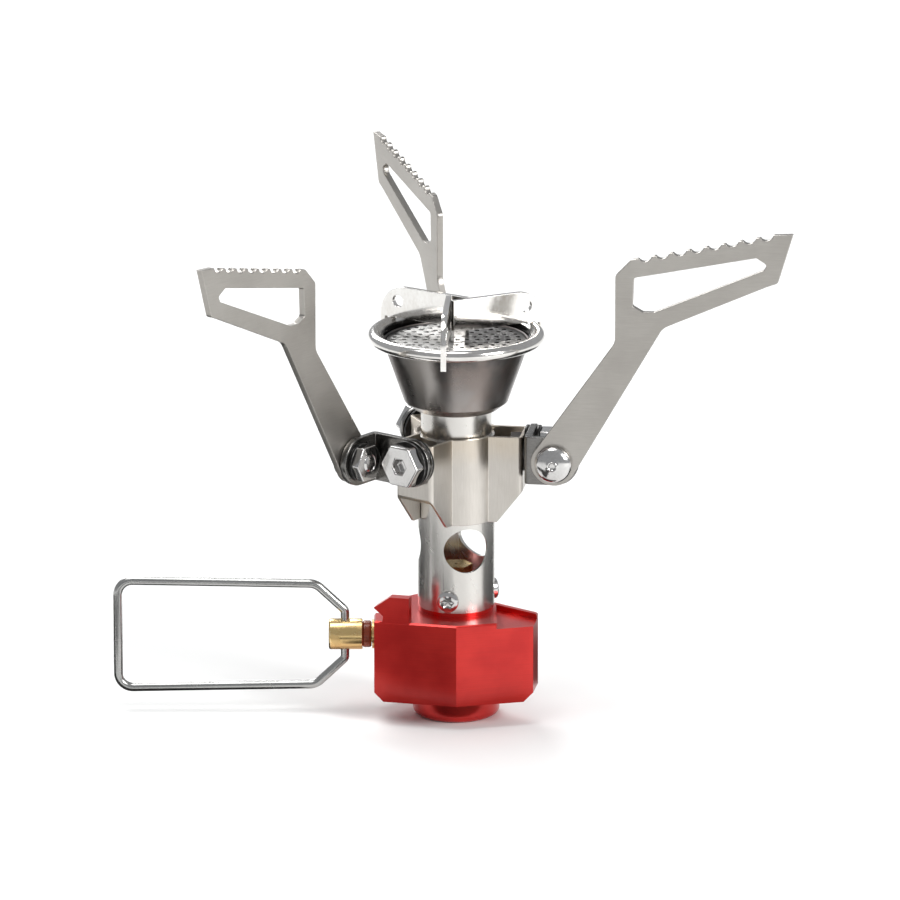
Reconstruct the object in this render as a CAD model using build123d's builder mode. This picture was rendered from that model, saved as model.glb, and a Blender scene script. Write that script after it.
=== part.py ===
from build123d import *
import math
import os

# A folding canister stove. Millimetres and degrees, +Z up along the burner axis.
# The origin is the centre of the mouth of the canister thread. The valve handle points along -X.

os.makedirs("parts", exist_ok=True)

# ---- clearances -------------------------------------------------------------------------------
running_gap = 0.05      # radial, a pin or shaft that turns in its hole
stack_gap = 0.1         # axial, between plates that turn on one pin
slip_gap = 0.05         # radial, parts that slide together once and stay

# ---- valve block ------------------------------------------------------------------------------
thread_radius = 5.15    # crests of the 7/16-28 canister thread
thread_length = 5.0
boss_wall = 2.55
boss_height = 4.5
boss_groove_depth = 0.4
boss_groove_height = 0.7
boss_edge_radius = 1.2
block_height = 14.8
block_half_width = 14.5
block_front = 12.0      # front ridge between the two broad faces
block_shoulder = 8.5    # where the broad faces end, measured towards the front
block_back = 10.0
rear_edge_gap = 0.3     # from the stem tube to the slanted rear edge on the right
rear_edge_azimuth = 50.0   # the way that edge faces
block_foot_chamfer = 1.6
block_edge_chamfer = 0.3
ear_rise = 4.5          # above the top of the block
ear_thickness = 2.0
ear_inner_end = 8.6
pocket_depth = 1.0      # sunk into the top of the block, right of the stem
pocket_wall = 1.2       # left standing along the slanted rear edge
spotface_radius = 6.0
spotface_depth = 1.1
valve_drop = 4.9        # the spindle axis below the top of the block

# ---- parts inside the block -------------------------------------------------------------------
seal_recess_depth = 0.45   # how much wider than the thread the seal's recess is
seal_recess_height = 3.4
seal_section = 1.8
pin_radius = 1.3
pin_tip_gap = 0.4       # the tip stands this far behind the free stretch of thread
pin_flange_radius = 2.8
pin_flange_height = 1.1
filter_height = 0.9
inlet_radius = 0.6
inlet_offset = 2.1
chamber_radius = 1.7
seat_depth = 1.2        # from the stem axis to the mouth of the needle seat
seat_radius = 0.5
gas_way_radius = 1.0
gland_radius = 3.0
gland_inner_end = 6.6
gland_collar_radius = 2.6
gland_collar_end = 14.9
stem_seal_length = 1.5

# ---- spindle, needle and wire handle ----------------------------------------------------------
barrel_radius = 2.75
barrel_length = 6.0
spindle_ring_radius = 2.4
spindle_ring_length = 1.6
shaft_radius = 1.5
shaft_inner_end = 4.7
needle_radius = 0.7
needle_length = 8.2
needle_tip_length = 1.4
needle_point_radius = 0.15
needle_travel = 1.0
wire_radius = 0.775
handle_hole_offset = 2.9   # from the outer end of the barrel to the cross hole
handle_reach = 40.3        # from the cross hole to the closed end
handle_half_gap_near = 9.3
handle_half_gap_far = 9.9
handle_neck_height = 4.4
handle_neck_run = 5.2
wire_end_depth = 1.9       # how deep each wire end sits in the barrel

# ---- stem and yoke ----------------------------------------------------------------------------
stem_radius = 6.8
stem_wall = 0.5
seat_ring_height = 0.8
spigot_height = 5.9
stem_length = 31.3
air_hole_radius = 4.0
air_hole_rise = 11.4       # above the foot of the stem
air_hole_azimuth = -73.0
screw_rise = 2.2           # above the foot of the stem
screw_azimuth = -102.0
screw_head_radius = 1.9
screw_head_height = 0.8
screw_shank_radius = 1.0
screw_length = 2.6
jet_shank_radius = 2.0
jet_shank_length = 4.4
jet_hex_width = 5.0
jet_hex_height = 2.2
jet_orifice_radius = 0.25
yoke_wall = 0.6
yoke_bend_radius = 0.3     # inside the bend
yoke_proud = 0.6           # above the stem tube
yoke_height = 15.6
lobe_depth = 5.5           # from the stem tube to the flat end of a lobe
lobe_half_width = 4.0
lobe_slant_rise = 5.9

# ---- pot arms ---------------------------------------------------------------------------------
first_arm_azimuth = -8.0
pivot_drop = 3.0           # pins below the top of the yoke
arm_pin_offset = 6.2       # from the flat end of a lobe out to the arm pin
link_pivot_side = -0.7     # link bolt, sideways from the lobe's middle
arm_thickness = 1.2
arm_eye_radius = 4.0
tooth_count = 8
tooth_pitch = 3.1
tooth_depth = 0.75
link_thickness = 1.2
link_eye_radius = 4.3
link_bend_radius = 1.0
bolt_radius = 1.5
arm_bolt_head_radius = 3.3
arm_bolt_head_height = 2.1
arm_washer_radius = 3.4
arm_washer_thickness = 0.6
arm_nut_width = 6.0
arm_nut_height = 1.5
arm_bolt_proud = 0.2
bolt_end_gap = 1.2         # between the end of the arm pin and the head of the link bolt
link_bolt_head_width = 7.0
link_bolt_head_height = 2.3
link_bolt_socket_width = 2.6
link_bolt_socket_depth = 1.5
link_washer_radius = 4.1
link_washer_thickness = 0.6
link_nut_width = 4.8
link_nut_height = 2.0

# ---- burner -----------------------------------------------------------------------------------
neck_wall = 0.6
neck_overlap = 7.4         # inside the stem tube
neck_rise = 4.8            # from the stem tube up to the cup
cup_foot_flat = 0.6        # how much wider than the stem the flat foot is
cup_corner_flare = 2.4
cup_corner_rise = 1.5
cup_height = 12.1
cup_top_radius = 12.9
cup_wall = 0.5
rim_overlap = 0.4
rim_width = 2.6
rim_height = 2.4
rim_round = 0.9
plate_sink = 1.9           # below the top of the rim
plate_thickness = 0.4
plate_hole_radius = 0.45
plate_hole_rows = 6
vane_azimuth = -93.0
vane_side = 1.4            # sideways from the burner axis, as the blades of a pinwheel
vane_thickness = 1.0
vane_rise = 5.7            # above the rim
vane_hook_width = 0.9
vane_hook_drop = 1.0       # below the rim
vane_hole_radius = 1.1
vane_shoulder = 5.0
vane_post_width = 2.2      # the strip that runs down to the plate beside the burner axis

# ---- worked out -------------------------------------------------------------------------------
arm_names = ["a", "b", "c"]
turns = [0, 120, 240]
boss_radius = thread_radius + boss_wall
block_top = boss_height + block_height
ear_top = block_top + ear_rise
valve_height = block_top - valve_drop
seal_recess_radius = thread_radius + seal_recess_depth
recess_top = thread_length + seal_recess_height
pin_tip_height = thread_length + pin_tip_gap
flange_top = recess_top + pin_flange_height
filter_top = flange_top + filter_height
barrel_outer_end = gland_collar_end + stack_gap + spindle_ring_length + barrel_length
handle_pivot_x = -(barrel_outer_end - handle_hole_offset)
spigot_top = block_top + spigot_height
stem_bottom = block_top + seat_ring_height
stem_bore = stem_radius - stem_wall
stem_top = stem_bottom + stem_length
air_hole_height = stem_bottom + air_hole_rise
screw_height = stem_bottom + screw_rise
yoke_top = stem_top + yoke_proud
yoke_bottom = yoke_top - yoke_height
lobe_reach = stem_radius + lobe_depth
lobe_slant_top = yoke_bottom + lobe_slant_rise
pivot_height = yoke_top - pivot_drop
arm_pivot_reach = lobe_reach + arm_pin_offset
neck_bottom = stem_top - neck_overlap
cup_bottom = stem_top + neck_rise
cup_bottom_radius = stem_radius + cup_foot_flat
cup_corner_radius = stem_radius + cup_corner_flare
cup_corner_height = cup_bottom + cup_corner_rise
cup_top = cup_bottom + cup_height
rim_inner_radius = cup_top_radius + 2 * slip_gap
rim_outer_radius = rim_inner_radius + rim_width
rim_bottom = cup_top - rim_overlap
rim_top = rim_bottom + rim_height
plate_top = rim_top - plate_sink
vane_top = rim_top + vane_rise
vane_reach = rim_outer_radius + vane_hook_width
# each vane runs in past the axis and stops short of the side of the next one
vane_meeting = vane_side * math.tan(math.radians(60))
vane_side_room = vane_thickness / 2 * (1 / math.sin(math.radians(60)) + 1 / math.tan(math.radians(60)))
vane_inner_end = vane_side_room + stack_gap - vane_meeting
vane_hook_bottom = rim_bottom - vane_hook_drop

# the stack on each arm pin, outwards from the head of the link bolt
link_head_corner = link_pivot_side + link_bolt_head_width / math.sqrt(3)
nut_far_side = link_head_corner + bolt_end_gap + arm_bolt_proud
leg_inner = nut_far_side + arm_nut_height + arm_washer_thickness
arm_side = leg_inner + link_thickness + stack_gap
arm_face = arm_side + arm_thickness + stack_gap

# the stack on each link bolt, outwards from the lobe
nut_face = lobe_reach - yoke_wall - link_nut_height
link_inner = lobe_reach + link_washer_thickness + 2 * stack_gap
link_outer = link_inner + link_thickness
head_face = link_outer + stack_gap + link_washer_thickness


def radial(azimuth, distance=0.0):
    """A point at this distance from the stem axis, in the direction of the azimuth."""
    angle = math.radians(azimuth)
    return Vector(distance * math.cos(angle), distance * math.sin(angle), 0)


def side_plane(azimuth, side):
    """The upright plane through the stem axis along azimuth, moved sideways: x outwards, y up."""
    across = radial(azimuth - 90, 1)
    return Plane(origin=across * side, x_dir=radial(azimuth, 1), z_dir=across)


def face_plane(azimuth, distance, side=0.0, height=0.0):
    """The upright plane that faces outwards along azimuth: x to the left of it, y up."""
    across = radial(azimuth - 90, side)
    origin = radial(azimuth, distance) + across + Vector(0, 0, height)
    return Plane(origin=origin, x_dir=radial(azimuth + 90, 1), z_dir=radial(azimuth, 1))


def spindle_plane(distance):
    """Faces along -X on the spindle axis, this far from the stem axis."""
    return Plane(origin=(-distance, 0, valve_height), x_dir=(0, 1, 0), z_dir=(-1, 0, 0))


def save(part, name):
    part.label = name
    export_step(part, f"parts/{name}.step")


# ---- valve block: threaded boss, faceted body, spigot for the stem, valve bores ---------------
face_slope = math.degrees(math.atan2(block_front - block_shoulder, block_half_width))
rear_edge_distance = stem_radius + rear_edge_gap


def rear_edge(x, inset=0.0):
    """The point at x on the slanted rear edge, moved inwards by inset."""
    angle = math.radians(rear_edge_azimuth)
    return (x, (rear_edge_distance - inset - x * math.cos(angle)) / math.sin(angle))


block_outline = [
    (-block_half_width, -block_shoulder),
    (0, -block_front),
    (block_half_width - 0.9, -block_shoulder),
    rear_edge(block_half_width),
    rear_edge(1.0),
    (-5.5, block_back),
    (-block_half_width, 3.0),
]
pocket_outline = [
    (rear_edge_distance, -block_front),
    (block_half_width + 1, -block_front),
    rear_edge(block_half_width + 1, pocket_wall),
    rear_edge(rear_edge_distance, pocket_wall),
]
face_length = math.hypot(block_half_width, block_front - block_shoulder)
ear_outline = [
    (-face_length, block_top - 0.5),
    (-face_length + 1.5, block_top),
    (-face_length + 1.6, block_top + 1.0),
    (-face_length - 0.1, block_top + 2.4),
    (-face_length + 2.8, ear_top),
    (-ear_inner_end, ear_top),
    (-ear_inner_end, block_top - 0.5),
]
with BuildPart() as valve_block:
    with BuildSketch(Plane.XY.offset(boss_height)):
        Polygon(*block_outline, align=None)
    extrude(amount=block_top - boss_height)
    foot_edges = valve_block.edges().group_by(Axis.Z)[0]
    ends = [edge for edge in foot_edges if abs(edge.center().X) > block_half_width - 1]
    chamfer(ends, length=block_foot_chamfer)
    top_edges = valve_block.edges().group_by(Axis.Z)[-1]
    chamfer(top_edges, length=block_edge_chamfer)
    # ear over the valve gland, in the plane of the left broad face
    ear_plane = Plane(
        origin=(0, -block_front, 0),
        x_dir=radial(-face_slope, 1),
        z_dir=radial(-90 - face_slope, 1),
    )
    with BuildSketch(ear_plane.offset(-ear_thickness)):
        Polygon(*ear_outline, align=None)
    extrude(amount=ear_thickness - 0.01)
    # pocket right of the stem, with a wall left along the slanted rear edge
    with BuildSketch(Plane.XY.offset(block_top - pocket_depth)):
        Polygon(*pocket_outline, align=None)
    extrude(amount=pocket_depth, mode=Mode.SUBTRACT)
    # boss and spigot
    with BuildSketch():
        Circle(boss_radius)
    extrude(amount=boss_height)
    with BuildSketch(Plane.XY.offset(boss_height - boss_groove_height)):
        Circle(boss_radius + 1)
        Circle(boss_radius - boss_groove_depth, mode=Mode.SUBTRACT)
    extrude(amount=boss_groove_height, mode=Mode.SUBTRACT)
    fillet(valve_block.edges().filter_by(GeomType.CIRCLE).group_by(Axis.Z)[0], boss_edge_radius)
    with BuildSketch(Plane.XY.offset(block_top)):
        Circle(stem_radius - 0.2)
    extrude(amount=seat_ring_height)
    with BuildSketch(Plane.XY.offset(block_top)):
        Circle(stem_bore - slip_gap)
    extrude(amount=spigot_top - block_top)
    # canister thread, recess for the seal, seats of the opener pin and the filter
    with BuildSketch():
        Circle(thread_radius)
    extrude(amount=thread_length, mode=Mode.SUBTRACT)
    with BuildSketch(Plane.XY.offset(thread_length)):
        Circle(seal_recess_radius)
    extrude(amount=seal_recess_height, mode=Mode.SUBTRACT)
    with BuildSketch(Plane.XY.offset(recess_top)):
        Circle(pin_flange_radius + slip_gap)
    extrude(amount=filter_top - recess_top, mode=Mode.SUBTRACT)
    with BuildSketch(Plane.XY.offset(filter_top)):
        with Locations((-inlet_offset, 0)):
            Circle(inlet_radius)
    extrude(amount=valve_height - filter_top, mode=Mode.SUBTRACT)
    # way up to the jet
    with BuildSketch(Plane.XY.offset(valve_height)):
        Circle(gas_way_radius)
    extrude(amount=spigot_top - valve_height, mode=Mode.SUBTRACT)
    with BuildSketch(Plane.XY.offset(spigot_top - jet_shank_length)):
        Circle(jet_shank_radius + slip_gap)
    extrude(amount=jet_shank_length, mode=Mode.SUBTRACT)
    # stepped bore of the valve: seat, needle chamber, seal and gland thread, spotface
    with BuildSketch(spindle_plane(0)):
        Circle(seat_radius)
    extrude(amount=seat_depth, mode=Mode.SUBTRACT)
    with BuildSketch(spindle_plane(seat_depth)):
        Circle(chamber_radius)
    extrude(amount=gland_inner_end - seat_depth, mode=Mode.SUBTRACT)
    with BuildSketch(spindle_plane(gland_inner_end - stem_seal_length)):
        Circle(gland_radius + slip_gap)
    extrude(amount=block_half_width, mode=Mode.SUBTRACT)
    with BuildSketch(spindle_plane(block_half_width - spotface_depth)):
        Circle(spotface_radius)
    extrude(amount=spotface_depth + 1, mode=Mode.SUBTRACT)
    # threaded holes for the stem screws
    for turn in turns:
        with BuildSketch(face_plane(screw_azimuth + turn, stem_bore - screw_length, height=screw_height)):
            Circle(screw_shank_radius + slip_gap)
        extrude(amount=screw_length, mode=Mode.SUBTRACT)
save(valve_block.part, "valve_block")

# ---- canister seal: a ring in the recess above the canister thread ----------------------------
with BuildPart() as canister_seal:
    with BuildSketch(Plane.XZ):
        seal_middle = seal_recess_radius - slip_gap - seal_section / 2
        with Locations((seal_middle, recess_top - seal_section / 2)):
            Circle(seal_section / 2)
    revolve(axis=Axis.Z)
save(canister_seal.part, "canister_seal")

# ---- valve opener pin, bored and cross-slotted at the tip so that gas can enter ---------------
with BuildPart() as valve_opener_pin:
    with BuildSketch(Plane.XY.offset(pin_tip_height)):
        Circle(pin_radius)
    extrude(amount=flange_top - pin_tip_height)
    with BuildSketch(Plane.XY.offset(recess_top)):
        Circle(pin_flange_radius)
    extrude(amount=pin_flange_height)
    with BuildSketch(Plane.XY.offset(pin_tip_height)):
        Circle(pin_radius * 0.4)
        Rectangle(pin_radius * 3, pin_radius * 0.4)
    extrude(amount=0.6, mode=Mode.SUBTRACT)
    with BuildSketch(Plane.XY.offset(pin_tip_height)):
        Circle(pin_radius * 0.4)
    extrude(amount=flange_top - pin_tip_height, mode=Mode.SUBTRACT)
save(valve_opener_pin.part, "valve_opener_pin")

# ---- fuel filter: a sintered disc behind the pin ----------------------------------------------
with BuildPart() as fuel_filter:
    with BuildSketch(Plane.XY.offset(flange_top)):
        Circle(pin_flange_radius)
    extrude(amount=filter_height)
    chamfer(fuel_filter.edges(), length=0.15)
save(fuel_filter.part, "fuel_filter")

# ---- gas jet: hexagon head with a fine orifice, on top of the spigot --------------------------
with BuildPart() as gas_jet:
    with BuildSketch(Plane.XY.offset(spigot_top - jet_shank_length)):
        Circle(jet_shank_radius)
    extrude(amount=jet_shank_length)
    with BuildSketch(Plane.XY.offset(spigot_top)):
        RegularPolygon(jet_hex_width / 2, 6, major_radius=False)
    extrude(amount=jet_hex_height)
    with BuildSketch(Plane.XY.offset(spigot_top - jet_shank_length)):
        Circle(gas_way_radius)
    extrude(amount=jet_shank_length + jet_hex_height - 0.6, mode=Mode.SUBTRACT)
    with BuildSketch(Plane.XY.offset(spigot_top)):
        Circle(jet_orifice_radius)
    extrude(amount=jet_hex_height, mode=Mode.SUBTRACT)
save(gas_jet.part, "gas_jet")

# ---- gland nut: holds the stem seal in the block and guides the spindle -----------------------
with BuildPart() as gland_nut:
    with BuildSketch(spindle_plane(gland_inner_end)):
        Circle(gland_radius)
    extrude(amount=block_half_width - spotface_depth - gland_inner_end)
    with BuildSketch(spindle_plane(block_half_width - spotface_depth)):
        Circle(gland_collar_radius)
    extrude(amount=gland_collar_end - block_half_width + spotface_depth)
    with BuildSketch(spindle_plane(gland_inner_end)):
        Circle(shaft_radius + running_gap)
    extrude(amount=gland_collar_end - gland_inner_end, mode=Mode.SUBTRACT)
save(gland_nut.part, "gland_nut")

# ---- stem seal: rubber ring round the spindle, behind the gland nut ---------------------------
with BuildPart() as stem_seal:
    with BuildSketch(spindle_plane(gland_inner_end - stem_seal_length)):
        Circle(gland_radius)
        Circle(shaft_radius + running_gap, mode=Mode.SUBTRACT)
    extrude(amount=stem_seal_length)
    fillet(stem_seal.edges(), 0.3)
save(stem_seal.part, "stem_seal")

# ---- valve spindle: barrel with the cross hole for the wire, and a bored shaft ----------------
with BuildPart() as valve_spindle:
    with BuildSketch(spindle_plane(barrel_outer_end - barrel_length)):
        Circle(barrel_radius)
    extrude(amount=barrel_length)
    chamfer(valve_spindle.edges().group_by(Axis.X)[0], length=0.25)
    with BuildSketch(spindle_plane(shaft_inner_end)):
        Circle(shaft_radius)
    extrude(amount=barrel_outer_end - barrel_length - shaft_inner_end)
    with BuildSketch(Plane.XY.offset(valve_height - barrel_radius - 1)):
        with Locations((handle_pivot_x, 0)):
            Circle(wire_radius + running_gap)
    extrude(amount=2 * barrel_radius + 2, mode=Mode.SUBTRACT)
    needle_bore_depth = seat_depth + needle_length + needle_travel - shaft_inner_end
    with BuildSketch(spindle_plane(shaft_inner_end)):
        Circle(needle_radius + running_gap)
    extrude(amount=needle_bore_depth, mode=Mode.SUBTRACT)
save(valve_spindle.part, "valve_spindle")

# ---- spindle ring: dark stop ring between the barrel and the gland nut ------------------------
with BuildPart() as spindle_ring:
    with BuildSketch(spindle_plane(gland_collar_end + stack_gap)):
        Circle(spindle_ring_radius)
        Circle(shaft_radius, mode=Mode.SUBTRACT)
    extrude(amount=spindle_ring_length)
    ring_edges = spindle_ring.edges().filter_by(GeomType.CIRCLE)
    fillet([e for e in ring_edges if e.radius > shaft_radius + 0.1], 0.4)
save(spindle_ring.part, "spindle_ring")

# ---- valve needle: its cone closes the seat ---------------------------------------------------
with BuildPart() as valve_needle:
    needle_tip_x = -(seat_depth - needle_tip_length / 2)
    with BuildSketch(Plane.XZ):
        with BuildLine():
            Polyline(
                (needle_tip_x, valve_height),
                (needle_tip_x, valve_height + needle_point_radius),
                (needle_tip_x - needle_tip_length, valve_height + needle_radius),
                (needle_tip_x - needle_length, valve_height + needle_radius),
                (needle_tip_x - needle_length, valve_height),
                close=True,
            )
        make_face()
    revolve(axis=Axis((0, 0, valve_height), (1, 0, 0)))
save(valve_needle.part, "valve_needle")

# ---- wire handle: one wire, both ends hooked into the cross hole of the barrel ----------------
end_rise = barrel_radius - wire_end_depth
neck_x = handle_pivot_x - handle_neck_run
closed_x = handle_pivot_x - handle_reach
handle_half = [
    (handle_pivot_x, end_rise),
    (handle_pivot_x, handle_neck_height),
    (neck_x, handle_half_gap_near),
    (closed_x, handle_half_gap_far),
]
handle_route = [(x, 0, valve_height + rise) for x, rise in handle_half]
handle_route += [(x, 0, valve_height - rise) for x, rise in reversed(handle_half)]
handle_radii = [1.0, 3.0, 2.6, 2.6, 3.0, 1.0]
with BuildPart() as wire_handle:
    with BuildLine() as handle_line:
        FilletPolyline(*handle_route, radius=handle_radii)
    with BuildSketch(Plane(origin=handle_route[0], z_dir=(0, 0, 1))):
        Circle(wire_radius)
    sweep(path=handle_line.line)
save(wire_handle.part, "wire_handle")

# ---- stem tube: air holes above the jet, screw holes at the foot ------------------------------
with BuildPart() as stem_tube:
    with BuildSketch(Plane.XY.offset(stem_bottom)):
        Circle(stem_radius)
        Circle(stem_bore, mode=Mode.SUBTRACT)
    extrude(amount=stem_top - stem_bottom)
    for turn in turns:
        with BuildSketch(face_plane(air_hole_azimuth + turn, 0, height=air_hole_height)):
            Circle(air_hole_radius)
        extrude(amount=stem_radius + 1, mode=Mode.SUBTRACT)
        with BuildSketch(face_plane(screw_azimuth + turn, 0, height=screw_height)):
            Circle(screw_shank_radius + slip_gap)
        extrude(amount=stem_radius + 1, mode=Mode.SUBTRACT)
save(stem_tube.part, "stem_tube")

# ---- stem screws: three round-headed screws through the tube into the spigot ------------------
with BuildPart() as stem_screws:
    for turn in turns:
        azimuth = screw_azimuth + turn
        with BuildSketch(face_plane(azimuth, stem_bore - screw_length + 0.2, height=screw_height)):
            Circle(screw_shank_radius)
        extrude(amount=screw_length - 0.2 + stem_wall + 0.3)
        with BuildSketch(face_plane(azimuth, stem_radius, height=screw_height)):
            Circle(screw_head_radius)
        extrude(amount=screw_head_height)
        rims = stem_screws.edges().filter_by(GeomType.CIRCLE)
        outer = [e for e in rims if abs(e.center().dot(radial(azimuth, 1))
                                        - stem_radius - screw_head_height) < 1e-3]
        fillet(outer, 0.45)
save(stem_screws.part, "stem_screws")

# ---- support yoke: pressed sheet sleeve with three hollow lobes, open below -------------------


def lobed_outline(round_radius, reach, half_width, corner):
    """Three square-ended lobes round a circle, with rounded corners."""
    with BuildSketch(mode=Mode.PRIVATE) as outline:
        Circle(round_radius)
        for turn in turns:
            lobe_azimuth = first_arm_azimuth + turn
            middle = radial(lobe_azimuth, reach / 2)
            with Locations(Location((middle.X, middle.Y, 0), (0, 0, lobe_azimuth))):
                Rectangle(reach, 2 * half_width)
        tips = [v for v in outline.vertices() if math.hypot(v.X, v.Y) > reach - 0.1]
        fillet(tips, corner)
    return outline.sketch


with BuildPart() as support_yoke:
    with BuildSketch(Plane.XY.offset(yoke_bottom)):
        add(
            lobed_outline(
                stem_radius + slip_gap + yoke_wall,
                lobe_reach,
                lobe_half_width,
                yoke_bend_radius + yoke_wall,
            )
        )
        add(
            lobed_outline(
                stem_radius + slip_gap,
                lobe_reach - yoke_wall,
                lobe_half_width - yoke_wall,
                yoke_bend_radius,
            ),
            mode=Mode.SUBTRACT,
        )
    extrude(amount=yoke_top - yoke_bottom)
    for turn in turns:
        with BuildSketch(side_plane(first_arm_azimuth + turn, -lobe_half_width - 1)):
            Polygon(
                (stem_radius + yoke_wall + 0.3, yoke_bottom - 0.1),
                (lobe_reach + 0.1, lobe_slant_top),
                (lobe_reach + 2, lobe_slant_top),
                (lobe_reach + 2, yoke_bottom - 0.1),
                align=None,
            )
        extrude(amount=2 * lobe_half_width + 2, mode=Mode.SUBTRACT)
        with BuildSketch(face_plane(first_arm_azimuth + turn, stem_radius + 1,
                                    side=link_pivot_side, height=pivot_height)):
            Circle(bolt_radius + slip_gap)
        extrude(amount=lobe_reach, mode=Mode.SUBTRACT)
save(support_yoke.part, "support_yoke")

# ---- pot arm: stamped plate, drawn in its own plane with the pin at 0, 0 ----------------------
arm_outline = [
    (-3.1, 2.5),
    (10.75, 22.3),
    (10.75, 34.4),
    (13.5, 37.3),
    (38.6, 42.6),
    (41.8, 42.8),
    (39.2, 34.0),
    (37.3, 33.3),
    (19.1, 25.2),
    (3.4, -2.1),
]
window_outline = [
    (14.0, 34.1),
    (35.4, 38.4),
    (37.3, 37.2),
    (36.7, 36.2),
    (17.6, 28.0),
    (15.6, 28.0),
    (13.8, 29.0),
]
tooth_start = Vector(14.9, 37.6)
tooth_end = Vector(38.6, 42.6)
tooth_radius = 1.3


def near(vertices, points):
    """The vertices that lie on these points."""
    return [v for v in vertices if any(math.hypot(v.X - x, v.Y - y) < 0.01 for x, y in points)]


with BuildSketch() as arm_sketch:
    Polygon(*arm_outline, align=None)
    fillet(near(arm_sketch.vertices(), [arm_outline[1], arm_outline[8]]), 3.0)
    fillet(near(arm_sketch.vertices(), [arm_outline[2], arm_outline[3]]), 1.0)
    fillet(near(arm_sketch.vertices(), [arm_outline[6]]), 0.8)
    Circle(arm_eye_radius)
    with BuildSketch(mode=Mode.PRIVATE) as window:
        Polygon(*window_outline, align=None)
        fillet(window.vertices(), 0.5)
    add(window.sketch, mode=Mode.SUBTRACT)
    along = (tooth_end - tooth_start).normalized()
    across = Vector(-along.Y, along.X)
    for tooth in range(tooth_count):
        valley = tooth_start + along * (tooth_pitch * (tooth + 0.35)) + across * (tooth_radius - tooth_depth)
        with Locations((valley.X, valley.Y)):
            Circle(tooth_radius, mode=Mode.SUBTRACT)
    Circle(bolt_radius + running_gap, mode=Mode.SUBTRACT)

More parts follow.
